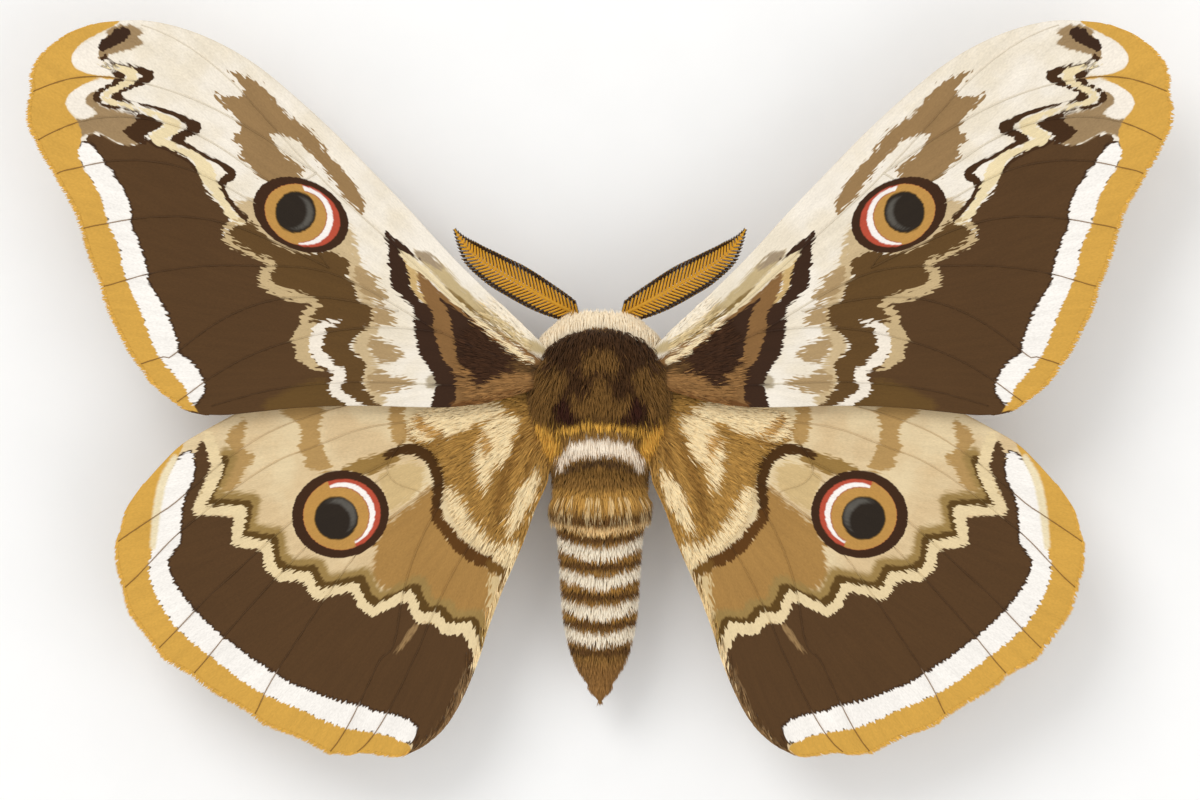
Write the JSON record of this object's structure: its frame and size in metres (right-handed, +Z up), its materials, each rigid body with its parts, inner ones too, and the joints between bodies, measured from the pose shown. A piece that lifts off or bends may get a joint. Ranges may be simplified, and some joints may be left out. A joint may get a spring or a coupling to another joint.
{
  "type": "giant peacock moth",
  "caption": "Still model of a giant peacock moth standing on its feet, its patterned wings spread flat, with feathered antennae and a furred body.",
  "frame": {"origin": "on the floor, at the middle of the moth's box seen from above", "axes": "+X towards the moth's own left wing tips, -Y the way the head points, +Z up"},
  "size_m": [0.15, 0.0966, 0.0196],
  "materials": {
    "thorax_fur": "dense matt fur, dark brown with a cream collar",
    "abdomen_fur": "dense matt fur, brown with pale bands",
    "head_fur": "short matt fur",
    "eye_facets": "glossy facets",
    "antenna_horn": "matt horn with fine hairs",
    "forewing_scales": "matt powdery scales, brown with a pale margin and an eyespot",
    "hindwing_scales": "matt powdery scales, tan and brown with a pale margin and an eyespot",
    "leg_fur": "short matt fur, bare dark feet"
  },
  "bodies": {
    "root": {"thorax": "thorax_fur", "abdomen": "abdomen_fur", "head": "head_fur", "eye_left": "eye_facets", "eye_right": "eye_facets", "antenna_left": "antenna_horn", "antenna_right": "antenna_horn", "forewing_left": "forewing_scales", "forewing_right": "forewing_scales", "hindwing_left": "hindwing_scales", "hindwing_right": "hindwing_scales", "leg_front_left": "leg_fur", "leg_front_right": "leg_fur", "leg_middle_left": "leg_fur", "leg_middle_right": "leg_fur", "leg_hind_left": "leg_fur", "leg_hind_right": "leg_fur"}
  },
  "joints": []
}
